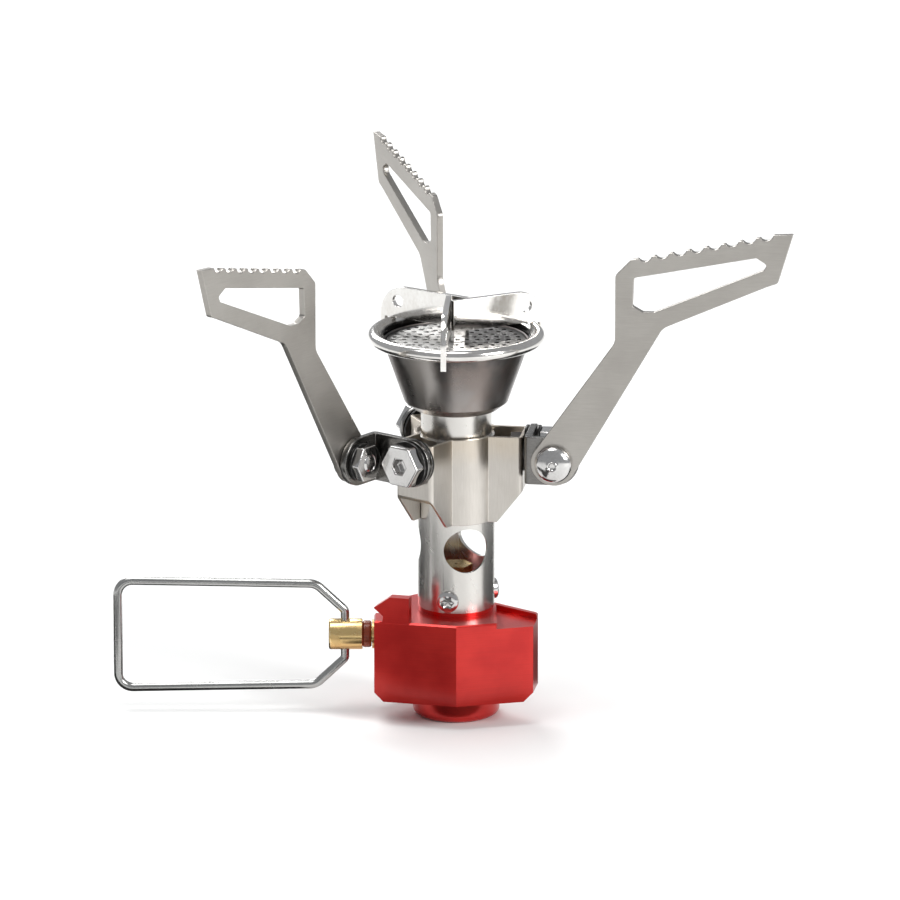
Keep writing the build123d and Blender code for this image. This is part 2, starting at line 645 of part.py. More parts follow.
# ---- the three arms with their links and fasteners --------------------------------------------
for name, turn in zip(arm_names, turns):
    azimuth = first_arm_azimuth + turn

    with BuildPart() as pot_arm:
        arm_plane = side_plane(azimuth, arm_side)
        arm_plane.origin = arm_plane.origin + radial(azimuth, arm_pivot_reach) + Vector(0, 0, pivot_height)
        with BuildSketch(arm_plane):
            add(arm_sketch.sketch)
        extrude(amount=arm_thickness)
    save(pot_arm.part, f"pot_arm_{name}")

    # bracket: one leg across the lobe on the link bolt, one leg beside the arm on the arm pin
    with BuildPart() as arm_link:
        with BuildSketch(face_plane(azimuth, link_inner, height=pivot_height)):
            with Locations((-link_pivot_side, 0)):
                Circle(link_eye_radius)
            leg_middle = (-link_pivot_side - leg_inner - link_thickness) / 2
            with Locations((leg_middle, 0)):
                Rectangle(-link_pivot_side + leg_inner + link_thickness, 2 * link_eye_radius)
        extrude(amount=link_thickness)
        with BuildSketch(side_plane(azimuth, leg_inner)):
            with Locations((arm_pivot_reach, pivot_height)):
                Circle(link_eye_radius)
            with Locations(((link_inner + arm_pivot_reach) / 2, pivot_height)):
                Rectangle(arm_pivot_reach - link_inner, 2 * link_eye_radius)
        extrude(amount=link_thickness)
        bends = arm_link.edges().filter_by(Axis.Z)
        corner = radial(azimuth, link_inner) + radial(azimuth - 90, leg_inner + link_thickness)
        outside = [e for e in bends if math.hypot(e.center().X - corner.X, e.center().Y - corner.Y) < 0.01]
        fillet(outside, link_bend_radius)
        with BuildSketch(face_plane(azimuth, link_inner, side=link_pivot_side, height=pivot_height)):
            Circle(bolt_radius + running_gap)
        extrude(amount=link_thickness, mode=Mode.SUBTRACT)
        with BuildSketch(side_plane(azimuth, leg_inner)):
            with Locations((arm_pivot_reach, pivot_height)):
                Circle(bolt_radius + slip_gap)
        extrude(amount=link_thickness, mode=Mode.SUBTRACT)
    save(arm_link.part, f"arm_link_{name}")

    # domed pin through arm and link, with its washer and nut on the inner side
    with BuildPart() as arm_bolt:
        with BuildSketch(side_plane(azimuth, nut_far_side - arm_bolt_proud)):
            with Locations((arm_pivot_reach, pivot_height)):
                Circle(bolt_radius)
        extrude(amount=arm_face - nut_far_side + arm_bolt_proud)
        with BuildSketch(side_plane(azimuth, arm_face)):
            with Locations((arm_pivot_reach, pivot_height)):
                Circle(arm_bolt_head_radius)
        extrude(amount=arm_bolt_head_height)
        head_rim = [
            e for e in arm_bolt.edges().filter_by(GeomType.CIRCLE)
            if abs(e.center().dot(radial(azimuth - 90, 1)) - arm_face - arm_bolt_head_height) < 1e-3
        ]
        fillet(head_rim, arm_bolt_head_height - 0.3)
    save(arm_bolt.part, f"arm_bolt_{name}")

    with BuildPart() as arm_washer:
        with BuildSketch(side_plane(azimuth, leg_inner - arm_washer_thickness)):
            with Locations((arm_pivot_reach, pivot_height)):
                Circle(arm_washer_radius)
                Circle(bolt_radius + slip_gap, mode=Mode.SUBTRACT)
        extrude(amount=arm_washer_thickness)
    save(arm_washer.part, f"arm_washer_{name}")

    with BuildPart() as arm_nut:
        with BuildSketch(side_plane(azimuth, nut_far_side)):
            with Locations((arm_pivot_reach, pivot_height)):
                RegularPolygon(arm_nut_width / 2, 6, major_radius=False)
                Circle(bolt_radius, mode=Mode.SUBTRACT)
        extrude(amount=arm_nut_height)
    save(arm_nut.part, f"arm_nut_{name}")

    # link bolt: socketed hexagon head outside, its nut inside the lobe
    with BuildPart() as link_bolt:
        with BuildSketch(face_plane(azimuth, nut_face - 0.3, side=link_pivot_side, height=pivot_height)):
            Circle(bolt_radius)
        extrude(amount=head_face - nut_face + 0.3)
        with BuildSketch(face_plane(azimuth, head_face, side=link_pivot_side, height=pivot_height)):
            RegularPolygon(link_bolt_head_width / 2, 6, major_radius=False)
        extrude(amount=link_bolt_head_height)
        with BuildSketch(
            face_plane(
                azimuth,
                head_face + link_bolt_head_height - link_bolt_socket_depth,
                side=link_pivot_side,
                height=pivot_height,
            )
        ):
            RegularPolygon(link_bolt_socket_width / 2, 6, major_radius=False)
        extrude(amount=link_bolt_socket_depth, mode=Mode.SUBTRACT)
    save(link_bolt.part, f"link_bolt_{name}")

    with BuildPart() as link_washers:
        for washer_face in (lobe_reach, head_face - link_washer_thickness):
            with BuildSketch(face_plane(azimuth, washer_face, side=link_pivot_side, height=pivot_height)):
                Circle(link_washer_radius)
                Circle(bolt_radius + slip_gap, mode=Mode.SUBTRACT)
            extrude(amount=link_washer_thickness)
    save(link_washers.part, f"link_washers_{name}")

    with BuildPart() as link_nut:
        with BuildSketch(face_plane(azimuth, nut_face, side=link_pivot_side, height=pivot_height)):
            RegularPolygon(link_nut_width / 2, 6, major_radius=False, rotation=30)
            Circle(bolt_radius, mode=Mode.SUBTRACT)
        extrude(amount=link_nut_height)
    save(link_nut.part, f"link_nut_{name}")

# ---- burner neck: carries the cup, slides into the stem tube ----------------------------------
with BuildPart() as burner_neck:
    with BuildSketch(Plane.XY.offset(neck_bottom)):
        Circle(stem_bore - slip_gap)
        Circle(stem_bore - slip_gap - neck_wall, mode=Mode.SUBTRACT)
    extrude(amount=cup_bottom + cup_wall + 0.8 - neck_bottom)
    with BuildSketch(Plane.XY.offset(cup_bottom + cup_wall)):
        Circle(cup_bottom_radius - 0.3)
        Circle(stem_bore - slip_gap - neck_wall, mode=Mode.SUBTRACT)
    extrude(amount=0.8)
save(burner_neck.part, "burner_neck")

# ---- burner cup: spun steel, a thin wall round a bottom with a hole for the neck --------------
with BuildPart() as burner_cup:
    with BuildSketch(Plane.XZ):
        with BuildLine():
            cup_side = Polyline(
                (stem_bore + cup_wall / 2 + slip_gap, cup_bottom + cup_wall / 2),
                (cup_bottom_radius, cup_bottom + cup_wall / 2),
                (cup_corner_radius - cup_wall / 2, cup_corner_height),
                (cup_top_radius - cup_wall / 2, cup_top),
            )
            offset(cup_side, amount=cup_wall / 2, side=Side.BOTH)
        make_face()
    revolve(axis=Axis.Z)
save(burner_cup.part, "burner_cup")

# ---- burner rim: rolled ring on the cup's edge, with a lip that holds the plate ---------------
with BuildPart() as burner_rim:
    with BuildSketch(Plane.XZ):
        middle = (rim_outer_radius + rim_inner_radius) / 2
        with Locations((middle, (rim_top + rim_bottom) / 2)):
            RectangleRounded(rim_outer_radius - rim_inner_radius, rim_top - rim_bottom, rim_round)
    revolve(axis=Axis.Z)
save(burner_rim.part, "burner_rim")

# ---- burner plate: rings of small holes, its edge just inside the slanted wall of the cup ------
cup_lean = (cup_top_radius - cup_corner_radius) / (cup_top - cup_corner_height)
cup_mouth = cup_top_radius - cup_wall / 2 * (1 + math.hypot(1, cup_lean))
plate_radius = cup_mouth - cup_lean * (cup_top - plate_top + plate_thickness) - slip_gap
hole_row_pitch = (plate_radius - 1.2) / plate_hole_rows
with BuildPart() as burner_plate:
    with BuildSketch(Plane.XY.offset(plate_top - plate_thickness)):
        Circle(plate_radius)
        Circle(plate_hole_radius, mode=Mode.SUBTRACT)
        for row in range(1, plate_hole_rows + 1):
            with PolarLocations(row * hole_row_pitch, 6 * row):
                Circle(plate_hole_radius, mode=Mode.SUBTRACT)
    extrude(amount=plate_thickness)
save(burner_plate.part, "burner_plate")

# ---- wind vanes: upright strips from the middle of the plate, hooked over the rim -------------
vane_foot = plate_top + 0.05
vane_underside = rim_top + 0.05
post_side = vane_inner_end + vane_post_width
hook_inside = rim_outer_radius + 0.05
for name, turn in zip(arm_names, turns):
    with BuildPart() as wind_vane:
        with BuildSketch(side_plane(vane_azimuth + turn, vane_side - vane_thickness / 2)):
            with BuildLine():
                Line((vane_inner_end, vane_foot), (vane_inner_end, vane_top))
                Line((vane_inner_end, vane_top), (vane_reach - vane_shoulder, vane_top))
                RadiusArc(
                    (vane_reach - vane_shoulder, vane_top),
                    (vane_reach, vane_top - vane_shoulder),
                    vane_shoulder,
                )
                Line((vane_reach, vane_top - vane_shoulder), (vane_reach, vane_hook_bottom))
                Line((vane_reach, vane_hook_bottom), (hook_inside, vane_hook_bottom))
                Line((hook_inside, vane_hook_bottom), (hook_inside, vane_underside))
                Line((hook_inside, vane_underside), (post_side, vane_underside))
                Line((post_side, vane_underside), (post_side, vane_foot))
                Line((post_side, vane_foot), (vane_inner_end, vane_foot))
            make_face()
            with Locations((vane_reach - 3.6, vane_top - 2.6)):
                Circle(vane_hole_radius, mode=Mode.SUBTRACT)
        extrude(amount=vane_thickness)
    save(wind_vane.part, f"wind_vane_{name}")
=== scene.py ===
# %% [markdown]
# # A folding canister stove
#
# The stove is mostly bare metal: a red anodised valve block, brass valve parts, a drawn steel tube, a spun
# burner cup and three stamped pot arms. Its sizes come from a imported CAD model, so this lesson is about the
# rest: edges that catch the light, a finish for each metal, and a small studio to show them in.

# %% Load the frame and keep its size
import math

import bmesh
import bpy
from mathutils import Euler, Matrix, Vector


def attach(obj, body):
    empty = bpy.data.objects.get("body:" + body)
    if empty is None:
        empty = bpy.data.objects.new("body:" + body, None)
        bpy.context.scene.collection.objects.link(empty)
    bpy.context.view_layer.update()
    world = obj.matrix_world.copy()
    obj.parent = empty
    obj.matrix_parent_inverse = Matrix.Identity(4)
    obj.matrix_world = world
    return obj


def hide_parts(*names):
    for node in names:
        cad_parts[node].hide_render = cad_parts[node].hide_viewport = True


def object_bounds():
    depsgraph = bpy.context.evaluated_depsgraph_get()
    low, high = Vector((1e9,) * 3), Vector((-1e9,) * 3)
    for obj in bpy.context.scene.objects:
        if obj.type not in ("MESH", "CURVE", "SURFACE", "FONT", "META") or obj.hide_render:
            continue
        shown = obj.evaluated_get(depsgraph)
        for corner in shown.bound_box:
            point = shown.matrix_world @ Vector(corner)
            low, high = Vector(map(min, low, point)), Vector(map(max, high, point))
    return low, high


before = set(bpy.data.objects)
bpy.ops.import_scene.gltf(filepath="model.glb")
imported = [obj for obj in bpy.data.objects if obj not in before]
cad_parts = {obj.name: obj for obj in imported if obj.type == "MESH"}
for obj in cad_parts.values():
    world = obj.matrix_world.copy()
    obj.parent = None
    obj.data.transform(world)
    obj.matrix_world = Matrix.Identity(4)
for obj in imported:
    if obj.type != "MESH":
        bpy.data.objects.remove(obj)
cad_low, cad_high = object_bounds()
print("CAD box in mm:", [round(1000 * side, 1) for side in cad_high - cad_low])

# %% [markdown]
# ## Measures
#
# Blender works in metres and the stove is drawn in millimetres, so one constant turns one into the other.
# The three pot arms are one part at three azimuths. They could be placed one by one, but a table of azimuths
# lets a loop make all three, and then they stay alike.

# %% Units and directions
MM = 0.001
UP = Vector((0, 0, 1))
ARM_AZIMUTHS = {"a": -8.0, "b": 112.0, "c": 232.0}


def outwards(azimuth, distance=1.0):
    """A level vector of this length, away from the burner axis."""
    angle = math.radians(azimuth)
    return Vector((math.cos(angle), math.sin(angle), 0)) * distance


print("arms at", list(ARM_AZIMUTHS.values()), "degrees")

# %% [markdown]
# ## Numbers that change over a surface
#
# A finish is made of sums: a streak times a strength plus a base roughness. Node by node such a sum is hard
# to read, so a small class wraps a socket and lets Python's own operators add the Math nodes.


# %% A socket that can be added, taken away and multiplied
class Number:
    """A socket of a finish. Arithmetic on it adds Math nodes."""

    def __init__(self, finish, socket):
        self.finish = finish
        self.socket = socket

    def __add__(self, other):
        return self.finish.node("Math", {"operation": "ADD"}, {0: self, 1: other})

    def __sub__(self, other):
        return self.finish.node("Math", {"operation": "SUBTRACT"}, {0: self, 1: other})

    def __rsub__(self, other):
        return self.finish.node("Math", {"operation": "SUBTRACT"}, {0: other, 1: self})

    def __mul__(self, other):
        return self.finish.node("Math", {"operation": "MULTIPLY"}, {0: self, 1: other})

    __radd__ = __add__
    __rmul__ = __mul__


print("sockets now take +, - and *")

# %% [markdown]
# ## A bare finish
#
# Every material here is one Principled shader with a few patterns in front of it. The patterns could follow
# a UV map, but machined metal has no seams to hide, so they are laid out in object space and in millimetres:
# a scratch then has the same width on every piece. One method makes any node, so a node takes one line.


# %% A material that nodes can be added to
class BareFinish:
    """A material with one shader. Its pattern space is the stove's own frame, in millimetres."""

    def __init__(self, name):
        self.material = bpy.data.materials.new(name)
        self.material.use_nodes = True
        self.tree = self.material.node_tree
        self.shader = self.tree.nodes["Principled BSDF"]
        place = self.node("TexCoord", {}, {}, "Object")
        self.space = self.node("VectorMath", {"operation": "SCALE"}, {0: place, "Scale": 1 / MM})

    def node(self, kind, settings, inputs, output=0):
        """Adds one node: its settings first, then the values or links of its sockets."""
        made = self.tree.nodes.new("ShaderNode" + kind)
        for name, value in settings.items():
            setattr(made, name, value)
        for name, value in inputs.items():
            self.feed(made.inputs[name], value)
        return Number(self, made.outputs[output])

    def feed(self, socket, value):
        """Links a Number to the socket, or sets a plain value on it."""
        if isinstance(value, Number):
            self.tree.links.new(value.socket, socket)
        elif socket.type == "RGBA":
            socket.default_value = (*value, 1)
        else:
            socket.default_value = value

    def set(self, **values):
        """Sets or links the shader's own sockets, named with _ for a space."""
        for name, value in values.items():
            self.feed(self.shader.inputs[name.replace("_", " ")], value)
        return self.material


print("bare finishes can be made")

# %% [markdown]
# ## Patterns for a finish
#
# Metal is told apart by its marks: grain that runs one way, clouds of tarnish, scuffs, soot near the flame
# and bright worn edges. Each of these is a short chain of nodes. It could be drawn anew in every material,
# but as a method it has one name and one meaning everywhere.


# %% A finish with patterns
class Finish(BareFinish):
    """A bare finish that knows places, noises, blends and wear."""

    def vector_math(self, operation, first, second=(0, 0, 0), output=0):
        """One Vector Math node on the vectors that it needs."""
        return self.node("VectorMath", {"operation": operation}, {0: first, 1: second}, output)

    def along(self, axis):
        """The distance along the stove's X, Y or Z, in millimetres."""
        return self.node("SeparateXYZ", {}, {"Vector": self.space}, axis)

    def level(self):
        """The pattern space with its height taken out."""
        return self.vector_math("MULTIPLY", self.space, (1, 1, 0))

    def reach(self):
        """The distance from the burner axis, in millimetres."""
        return self.vector_math("LENGTH", self.level(), output="Value")

    def facing(self, direction):
        """1 on the side of the burner axis that this level direction points to, and -1 on the other side."""
        heading = self.vector_math("NORMALIZE", self.level())
        return self.vector_math("DOT_PRODUCT", heading, direction, "Value")

    def stretched(self, scale, turn=(0, 0, 0)):
        """The pattern space, turned in degrees and then scaled: a small scale draws a pattern out."""
        angles = tuple(math.radians(angle) for angle in turn)
        turned = self.node("Mapping", {}, {"Vector": self.space, "Rotation": angles})
        return self.node("Mapping", {}, {"Vector": turned, "Scale": scale})

    def noise(self, scale, space=None, detail=3.0, roughness=0.55):
        """Cloudy noise from 0 to 1; scale is in features for each millimetre."""
        inputs = {"Vector": space or self.space, "Scale": scale, "Detail": detail, "Roughness": roughness}
        return self.node("TexNoise", {}, inputs, "Fac")

    def step(self, number, low, high):
        """0 below low, 1 above high, and smooth between them."""
        limits = {"Value": number, "From Min": low, "From Max": high}
        return self.node("MapRange", {"interpolation_type": "SMOOTHSTEP"}, limits)

    def blend(self, amount, first, second):
        """A colour that goes from first to second as amount goes from 0 to 1."""
        return self.node("Mix", {"data_type": "RGBA"}, {0: amount, 6: first, 7: second}, 2)

    def worn(self):
        """1 on eased edges, broken up by noise as real wear is, and 0 elsewhere."""
        edge = self.node("Attribute", {"attribute_name": "worn"}, {}, "Fac")
        return edge * self.step(self.noise(1.3, detail=4.0), 0.38, 0.62)

    def bump(self, height, depth):
        """A normal from a height of 0 to 1 that stands for this many millimetres."""
        return self.node("Bump", {}, {"Strength": 1.0, "Distance": depth * MM, "Height": height}, "Normal")


def scaled(colour, factor):
    """A colour made lighter or darker by this factor, and no brighter than white."""
    return tuple(min(1.0, factor * channel) for channel in colour)


print("finishes have patterns")

# %% [markdown]
# ## A recipe for bare steel
#
# Stainless sheet leaves the mill brushed one way, a tube is drawn along its length, and polished parts show
# only faint marks. The grain is what the eye reads. Each steel could have a material of its own from scratch,
# but they differ only in a few values, so one recipe takes how bright and how dark the metal gets, its
# roughness, the grain's stretch and turn, and either a stain from fire or a painted shade where there is one.


# %% One recipe for every steel
def steel(name, light, dark, roughness, grain, turn=(0, 0, 0), grain_depth=0.002, spread=0.1, stain_or_shade=None):
    """Bare metal. grain is the pattern's scale along X, Y and Z: the small one is the way it runs."""
    finish = Finish(name)
    lines = finish.noise(1.0, finish.stretched(grain, turn), detail=4.0, roughness=0.65)
    cloud = finish.noise(0.09, detail=3.0)
    scuff = finish.step(finish.noise(0.55, finish.stretched((1, 1, 0.4), (25, 40, 0))), 0.60, 0.72)
    colour = finish.blend(finish.step(cloud * 0.6 + lines * 0.4, 0.32, 0.68), dark, light)
    # This is either a real heat tint or painted shade, such as the black in the rim's bore.
    if stain_or_shade:
        mark, tint = stain_or_shade(finish)
        colour = finish.blend(mark, colour, tint)
    colour = finish.blend(finish.worn() * 0.25, colour, scaled(light, 1.25))
    # Both noises lie around a half, so this is their share on average. It keeps roughness the middle value.
    usual = 0.75 * spread
    return finish.set(
        Base_Color=colour,
        Metallic=1.0,
        Roughness=roughness + lines * spread + cloud * spread * 0.5 + scuff * 0.06 - usual,
        Normal=finish.bump(lines * 0.8 + scuff * 0.2, grain_depth),
    )


STEEL = {}
print("the steel recipe is ready")

# %% [markdown]
# ## Stem tube and yoke
#
# The tube is drawn, so its faint lines run upwards. The yoke above it is pressed from sheet and sits right
# under the burner, where heat turns stainless steel straw yellow. That tint could be painted by hand. A step
# on the height, shaken by a little noise, gives it a soft uneven lower edge and needs no painting.


# %% Stem and yoke steel
def heat_near(height, reach, tint, strength):
    """A stain that is full at this height in millimetres and fades out over the reach below it."""

    def stain_or_shade(finish):
        above = finish.along("Z") + finish.noise(0.3) * reach * 0.6
        return finish.step(above, height - reach, height) * strength, tint

    return stain_or_shade


STEEL["stem"] = steel(
    "stem_drawn",
    light=(0.68, 0.66, 0.63),
    dark=(0.61, 0.59, 0.56),
    roughness=0.25,
    grain=(7, 7, 0.2),
    grain_depth=0.001,
    spread=0.06,
)
STRAW_YELLOW = (0.55, 0.44, 0.30)
STEEL["yoke"] = steel(
    "yoke_pressed",
    light=(0.64, 0.607, 0.565),
    dark=(0.52, 0.487, 0.445),
    roughness=0.30,
    grain=(7, 7, 0.35),
    stain_or_shade=heat_near(height=53.0, reach=5.0, tint=STRAW_YELLOW, strength=0.35),
)
print("made", ", ".join(STEEL))

# %% [markdown]
# ## Arms and links
#
# The arms are stamped from brushed sheet before they are fitted, so each arm's grain runs along that arm.
# One material for all three would run its lines across two of them, so the recipe runs once for each azimuth
# and turns the pattern with it. The links are the same sheet, bent, and their darker colour is painted shade.

# %% Arm and link steel
for letter, azimuth in ARM_AZIMUTHS.items():
    STEEL["arm_" + letter] = steel(
        "arm_brushed_" + letter,
        light=(0.45, 0.43, 0.40),
        dark=(0.37, 0.35, 0.325),
        roughness=0.33,
        grain=(0.30, 8, 8),
        turn=(0, 0, -azimuth),
        spread=0.12,
    )
    # The links' darker colours are painted shade: they are the same steel as the arms.
    STEEL["link_" + letter] = steel(
        "link_painted_shade_" + letter,
        light=(0.27, 0.262, 0.25),
        dark=(0.14, 0.135, 0.13),
        roughness=0.24,
        grain=(1.2, 6, 6),
        turn=(0, 0, -azimuth),
    )
print("made", 2 * len(ARM_AZIMUTHS), "steels for arms and links")

# %% [markdown]
# ## Vanes, wire, pins and needle
#
# These small parts are bright: the vanes are polished strip, the handle is drawn wire, the pins are polished
# and the valve needle is ground. Flat chrome would look like plastic, so each keeps a faint grain and a
# little change of roughness. That breaks up its reflections without showing as a pattern.

# %% Small steel parts
STEEL["vane"] = steel(
    "vane_bright",
    light=(0.95, 0.94, 0.92),
    dark=(0.74, 0.71, 0.67),
    roughness=0.12,
    grain=(2.2, 2.2, 1.2),
    spread=0.08,
)
STEEL["wire"] = steel(
    "wire_drawn",
    light=(0.46, 0.46, 0.45),
    dark=(0.40, 0.40, 0.39),
    roughness=0.24,
    grain=(1.5, 6, 3),
    grain_depth=0.001,
)
STEEL["bolt"] = steel(
    "bolt_polished",
    light=(0.70, 0.69, 0.68),
    dark=(0.55, 0.54, 0.53),
    roughness=0.15,
    grain=(2.5, 2.5, 2.5),
)
STEEL["needle"] = steel(
    "needle_ground",
    light=(0.62, 0.62, 0.62),
    dark=(0.5, 0.5, 0.5),
    roughness=0.2,
    grain=(12, 1, 1),
)
print("made", len(STEEL), "steels so far")

# %% [markdown]
# ## Rim with painted shade in its bore
#
# The rolled rim is polished outside. Inside it is painted shade, a black band that stands for the shadow in
# its deep bore. Two materials with a face list would give a hard line between them. A stain that reads the
# distance from the burner axis fades the painted shade out over the lip.

# %% Rim steel
# Painted shade: the rim's bore is coloured black inside the first radius and clear beyond the second.
BORE_SHADE_FULL, BORE_SHADE_GONE = 13.25, 13.75
BORE_SHADE_BLACK = (0.02, 0.018, 0.016)


def painted_bore_shade(finish):
    """Painted shade on the inside of the rim, fading out over its lip."""
    return 1 - finish.step(finish.reach() + finish.noise(0.8) * 0.5, BORE_SHADE_FULL, BORE_SHADE_GONE), BORE_SHADE_BLACK


STEEL["rim"] = steel(
    "rim_rolled",
    light=(0.84, 0.825, 0.80),
    dark=(0.64, 0.62, 0.595),
    roughness=0.14,
    grain=(1.5, 1.5, 9),
    stain_or_shade=painted_bore_shade,
)
# The soot in this printed text is painted shade inside the rim.
print("made", STEEL["rim"].name, "with soot inside", BORE_SHADE_GONE, "mm")

# %% [markdown]
# ## Burner cup
#
# The cup is spun over a form, which leaves fine rings, and the flame has turned it brown and grey in soft
# upright patches. It is lighter towards its foot, and one side has a painted highlight: an upright streak of
# bright colour that stands for a reflection. A painted texture could show all this, but it would need seams.
# Here each mark is one blend over the colour below it.

# %% Cup finish
HIGHLIGHT_SIDE = (-0.56, -0.83, 0)
LIGHT_BELOW, DARK_ABOVE = 60.0, 69.0


def fired_cup():
    """Spun steel, dark with heat, lighter towards the foot."""
    finish = Finish("cup_fired")
    rings = finish.noise(1.0, finish.stretched((0.15, 0.15, 7.0)), detail=3.0)
    patches = finish.step(finish.noise(0.2, finish.stretched((1.0, 1.0, 0.4)), detail=3.0), 0.3, 0.7)
    low = 1 - finish.step(finish.along("Z") + patches * 5.0, LIGHT_BELOW, DARK_ABOVE)
    warm = finish.step(finish.noise(0.12), 0.42, 0.62)
    # Painted highlight: an upright streak of bright colour on one side, standing for a reflection.
    painted_highlight = finish.step(finish.facing(HIGHLIGHT_SIDE) + patches * 0.04, 0.95, 1.01)
    colour = finish.blend(low * 0.75 + patches * 0.4, (0.085, 0.080, 0.078), (0.36, 0.335, 0.32))
    colour = finish.blend(warm * 0.45, colour, (0.27, 0.215, 0.19))
    colour = finish.blend(painted_highlight * 0.8, colour, (0.62, 0.59, 0.56))
    colour = finish.blend(finish.worn() * 0.5, colour, (0.5, 0.48, 0.46))
    return finish.set(
        Base_Color=colour,
        Metallic=1.0,
        Roughness=0.24 + patches * 0.12 + rings * 0.05,
        Normal=finish.bump(rings, 0.004),
    )


FIRED_CUP = fired_cup()
print("made", FIRED_CUP.name)

# %% [markdown]
# ## Burner plate
#
# The perforated plate sits in the flame. Half of it is scoured bright and half is sooted, with grit and
# flecks on top, and a band of painted shade, for the rim's shadow, runs round its border. Holes could be
# drawn by the finish, but those of the CAD solid are real, so the finish only colours the metal between them.

# %% Plate finish
PLATE_SHADE_START, PLATE_SHADE_FULL = 11.6, 12.8


def fired_plate():
    """Perforated sheet: soot in patches, bright where the flame has scoured it."""
    finish = Finish("plate_fired")
    soot = finish.noise(0.22, detail=5.0, roughness=0.65)
    grit = finish.noise(2.2, detail=2.0)
    side = finish.step(finish.along("X") * 0.35 + soot * 6.0, 1.2, 4.6)
    flecks = finish.step(finish.noise(0.9, detail=4.0), 0.54, 0.64)
    # Painted shade: a dark band round the plate's border, where the rim's shadow falls.
    edge = finish.step(finish.reach() + soot * 2.0, PLATE_SHADE_START, PLATE_SHADE_FULL)
    colour = finish.blend(side, (0.86, 0.85, 0.83), (0.035, 0.033, 0.031))
    colour = finish.blend(finish.step(grit, 0.50, 0.66) * side, colour, (0.30, 0.29, 0.28))
    colour = finish.blend(flecks * 0.7, colour, (0.05, 0.046, 0.042))
    colour = finish.blend(edge, colour, (0.03, 0.028, 0.026))
    colour = finish.blend(finish.worn() * 0.6, colour, (0.75, 0.73, 0.70))
    return finish.set(
        Base_Color=colour,
        Metallic=0.7,
        Roughness=0.30 + grit * 0.22,
        Normal=finish.bump(soot * 0.5 + grit * 0.5, 0.03),
    )


FIRED_PLATE = fired_plate()
print("made", FIRED_PLATE.name)

# %% [markdown]
# ## Red anodising
#
# Anodising is a thin clear glassy layer with dye in it, over metal that was blasted matt. A plain red paint
# would hide the metal. Here the shader is metal with a red colour, a soft roughness and a faint coat, and
# faint mill lines. The dye wears off first along the edges, where paler aluminium shows.


# %% Block finish
def anodised():
    """Matt red dye over blasted aluminium, with bare metal on the worn edges."""
    finish = Finish("block_anodised")
    cloud = finish.noise(0.12)
    grains = finish.noise(7.0, detail=2.0)
    mill = finish.noise(1.0, finish.stretched((0.10, 0.10, 5.0)), detail=2.0)
    colour = finish.blend(finish.step(cloud, 0.35, 0.65), (0.50, 0.016, 0.014), (0.60, 0.026, 0.020))
    colour = finish.blend(finish.step(mill, 0.30, 0.75) * 0.18, colour, (0.34, 0.010, 0.010))
    colour = finish.blend(finish.worn() * 0.5, colour, (0.80, 0.22, 0.18))
    return finish.set(
        Base_Color=colour,
        Metallic=0.8,
        Roughness=0.25 + grains * 0.08 + cloud * 0.04,
        Coat_Weight=0.35 + grains * 0.10,
        Coat_Roughness=0.14,
        Normal=finish.bump(grains * 0.6 + mill * 0.4, 0.006),
    )


BLOCK_RED = anodised()
print("made", BLOCK_RED.name)

# %% [markdown]
# ## Turned brass
#
# The valve spindle and its nut are turned on a lathe, so their rings run round the valve axis, which is X.
# A noise squeezed along X draws those rings. The underside is darker and redder with painted shade, which
# comes from a step on the height, like the yoke's heat tint.

# %% Brass finish
UNDERSIDE_SHADE_FULL, UNDERSIDE_SHADE_GONE = 11.9, 14.4


def turned_brass():
    """Lathe rings round X, slightly tarnished in patches."""
    finish = Finish("brass_turned")
    rings = finish.noise(1.0, finish.stretched((9.0, 0.25, 0.25)), detail=3.0, roughness=0.6)
    tarnish = finish.step(finish.noise(0.45), 0.45, 0.72)
    # Painted shade: the underside darker and redder, its edge shaken by the real tarnish patches.
    painted_underside_shade = 1 - finish.step(finish.along("Z") + tarnish * 0.6, UNDERSIDE_SHADE_FULL, UNDERSIDE_SHADE_GONE)
    colour = finish.blend(rings, (0.78, 0.55, 0.23), (0.86, 0.64, 0.31))
    # This colour carries both the painted shade underneath and the real tarnish in patches.
    colour = finish.blend(painted_underside_shade * 0.6 + tarnish * 0.2, colour, (0.62, 0.30, 0.10))
    colour = finish.blend(finish.worn() * 0.6, colour, (0.96, 0.80, 0.50))
    return finish.set(
        Base_Color=colour,
        Metallic=1.0,
        Roughness=0.20 + tarnish * 0.14 + rings * 0.05,
        Normal=finish.bump(rings, 0.006),
    )


BRASS = turned_brass()
print("made", BRASS.name)

# %% [markdown]
# ## A recipe for grainy surfaces
#
# The spring washers have a black oxide skin, the seals and the ring on the spindle are rubber, and the gas
# filter is bronze balls baked together. All of them are grainy at some scale. A cell pattern gives round
# grains, which a cloud noise doesn't, so one recipe with a grain size serves the four.


# %% One recipe for grains
def granular(name, light, dark, size, depth, metal, roughness):
    """A surface of small grains: oxide, rubber bloom or sintered balls."""
    finish = Finish(name)
    grains = finish.node("TexVoronoi", {}, {"Vector": finish.space, "Scale": size}, "Distance")
    cloud = finish.noise(0.8)
    colour = finish.blend(finish.step(cloud * 0.7 + grains * 0.5, 0.3, 0.8), dark, light)
    colour = finish.blend(finish.worn() * 0.5, colour, scaled(light, 6))
    return finish.set(
        Base_Color=colour,
        Metallic=metal,
        Roughness=roughness + cloud * 0.15,
        Normal=finish.bump(1 - grains, depth),
    )


print("the grainy recipe is ready")

# %% [markdown]
# ## Four grainy finishes
#
# The oxide on the spring washers is thin enough for the steel to shine through, so it stays a metal. The
# rubbers aren't metal at all, and the ring on the spindle is glossy where the seals are dull. The filter's
# bronze balls are the coarsest grains and get the deepest bump.

